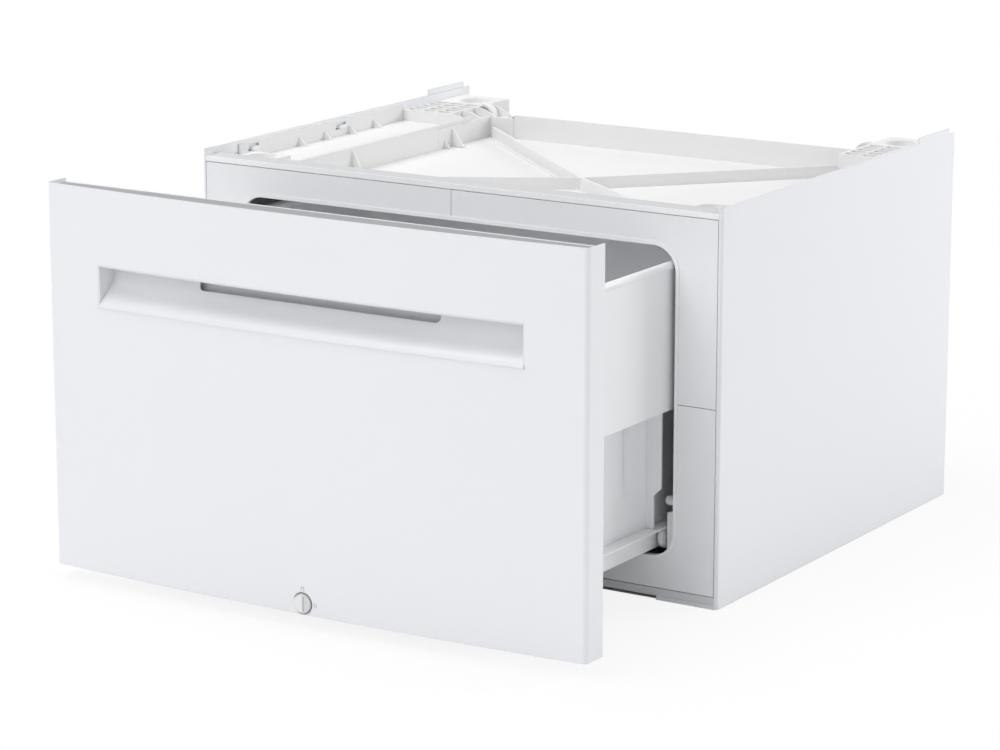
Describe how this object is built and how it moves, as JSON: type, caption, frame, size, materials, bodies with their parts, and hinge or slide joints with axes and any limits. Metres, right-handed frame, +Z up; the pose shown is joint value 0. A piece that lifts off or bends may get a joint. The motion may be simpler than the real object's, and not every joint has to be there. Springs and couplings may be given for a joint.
{
  "type": "washer pedestal drawer",
  "caption": "Sheet-steel laundry pedestal with a moulded deck for the machine's feet and a bow-fronted drawer on rollers behind a framed opening.",
  "frame": {"origin": "on the floor, below the middle of the box round the part as posed", "axes": "+X to the right, +Y from the drawer front to the back, +Z up"},
  "size_m": [0.602, 0.7542, 0.394],
  "materials": {
    "white_enamel": "satin powder coat",
    "grey_enamel": "satin powder coat",
    "frame_plastic": "moulded, fine texture",
    "white_plastic": "moulded, fine texture",
    "cap_grey": "moulded, fine texture",
    "roller_plastic": "smooth nylon",
    "zinc_steel": "zinc-plated sheet",
    "pad_grey": "moulded, coarse texture"
  },
  "bodies": {
    "cabinet": {"side_panel_left": "white_enamel", "side_panel_right": "white_enamel", "top_front_rail": "grey_enamel", "top_rear_rail": "grey_enamel", "bottom_front_rail": "grey_enamel", "bottom_rear_rail": "grey_enamel", "deck_ledge_left": "grey_enamel", "deck_ledge_right": "grey_enamel", "frame_upper_left": "frame_plastic", "frame_upper_right": "frame_plastic", "frame_lower": "frame_plastic", "opening_bezel": "white_plastic", "deck_tray": "white_plastic", "side_channel_left": "white_plastic", "side_channel_right": "white_plastic", "rear_foot_block_left": "white_plastic", "rear_foot_block_right": "white_plastic", "front_foot_seat_left": "white_plastic", "front_foot_seat_right": "white_plastic", "roller_bracket_left": "white_plastic", "roller_bracket_right": "white_plastic", "side_guide_pegs": "white_plastic", "back_panel": "zinc_steel", "rail_support_left": "zinc_steel", "rail_support_right": "zinc_steel", "guide_rail_left": "zinc_steel", "guide_rail_right": "zinc_steel", "front_roller_pins": "zinc_steel", "lock_strike": "zinc_steel", "back_screws": "zinc_steel", "bracket_screws": "zinc_steel", "foot_pads": "pad_grey"},
    "drawer": {"front_skin": "white_enamel", "front_top_cap": "cap_grey", "front_inner_panel": "grey_enamel", "handle_recess": "white_plastic", "tub": "frame_plastic", "runner_left": "grey_enamel", "runner_right": "grey_enamel", "front_bracket_left": "grey_enamel", "front_bracket_right": "grey_enamel", "rear_roller_pins": "zinc_steel", "drawer_screws": "zinc_steel", "lock_housing": "white_plastic"},
    "lock": {"lock_knob": "white_plastic", "lock_shaft": "zinc_steel", "lock_cam": "zinc_steel", "lock_cam_screw": "zinc_steel"},
    "front_roller_left": {"front_roller_left": "roller_plastic"},
    "front_roller_right": {"front_roller_right": "roller_plastic"},
    "rear_roller_left": {"rear_roller_left": "roller_plastic"},
    "rear_roller_right": {"rear_roller_right": "roller_plastic"}
  },
  "joints": [
    {"name": "drawer_slide", "type": "slide", "parent": "cabinet", "child": "drawer", "axis": [0, -1, 0], "range_m": [-0.2125, 0.165]},
    {"name": "lock_turn", "type": "hinge", "parent": "drawer", "child": "lock", "pos_m": [0, -0.37455, 0.0245], "axis": [0, 1, 0], "range_deg": [0, 90]},
    {"name": "front_roller_left_turn", "type": "hinge", "parent": "cabinet", "child": "front_roller_left", "pos_m": [-0.2324, -0.10185, 0.059], "axis": [1, 0, 0], "range_deg": [-1110, 870]},
    {"name": "front_roller_right_turn", "type": "hinge", "parent": "cabinet", "child": "front_roller_right", "pos_m": [0.2324, -0.10185, 0.059], "axis": [1, 0, 0], "range_deg": [-1110, 870]},
    {"name": "rear_roller_left_turn", "type": "hinge", "parent": "drawer", "child": "rear_roller_left", "pos_m": [-0.2324, 0.09245, 0.059], "axis": [1, 0, 0], "range_deg": [-1110, 870]},
    {"name": "rear_roller_right_turn", "type": "hinge", "parent": "drawer", "child": "rear_roller_right", "pos_m": [0.2324, 0.09245, 0.059], "axis": [1, 0, 0], "range_deg": [-1110, 870]}
  ],
  "couplings": [
    {"joint": "front_roller_left_turn", "follows": "drawer_slide", "rad_per_m": 90.909},
    {"joint": "front_roller_right_turn", "follows": "drawer_slide", "rad_per_m": 90.909},
    {"joint": "rear_roller_left_turn", "follows": "drawer_slide", "rad_per_m": 90.909},
    {"joint": "rear_roller_right_turn", "follows": "drawer_slide", "rad_per_m": 90.909}
  ]
}
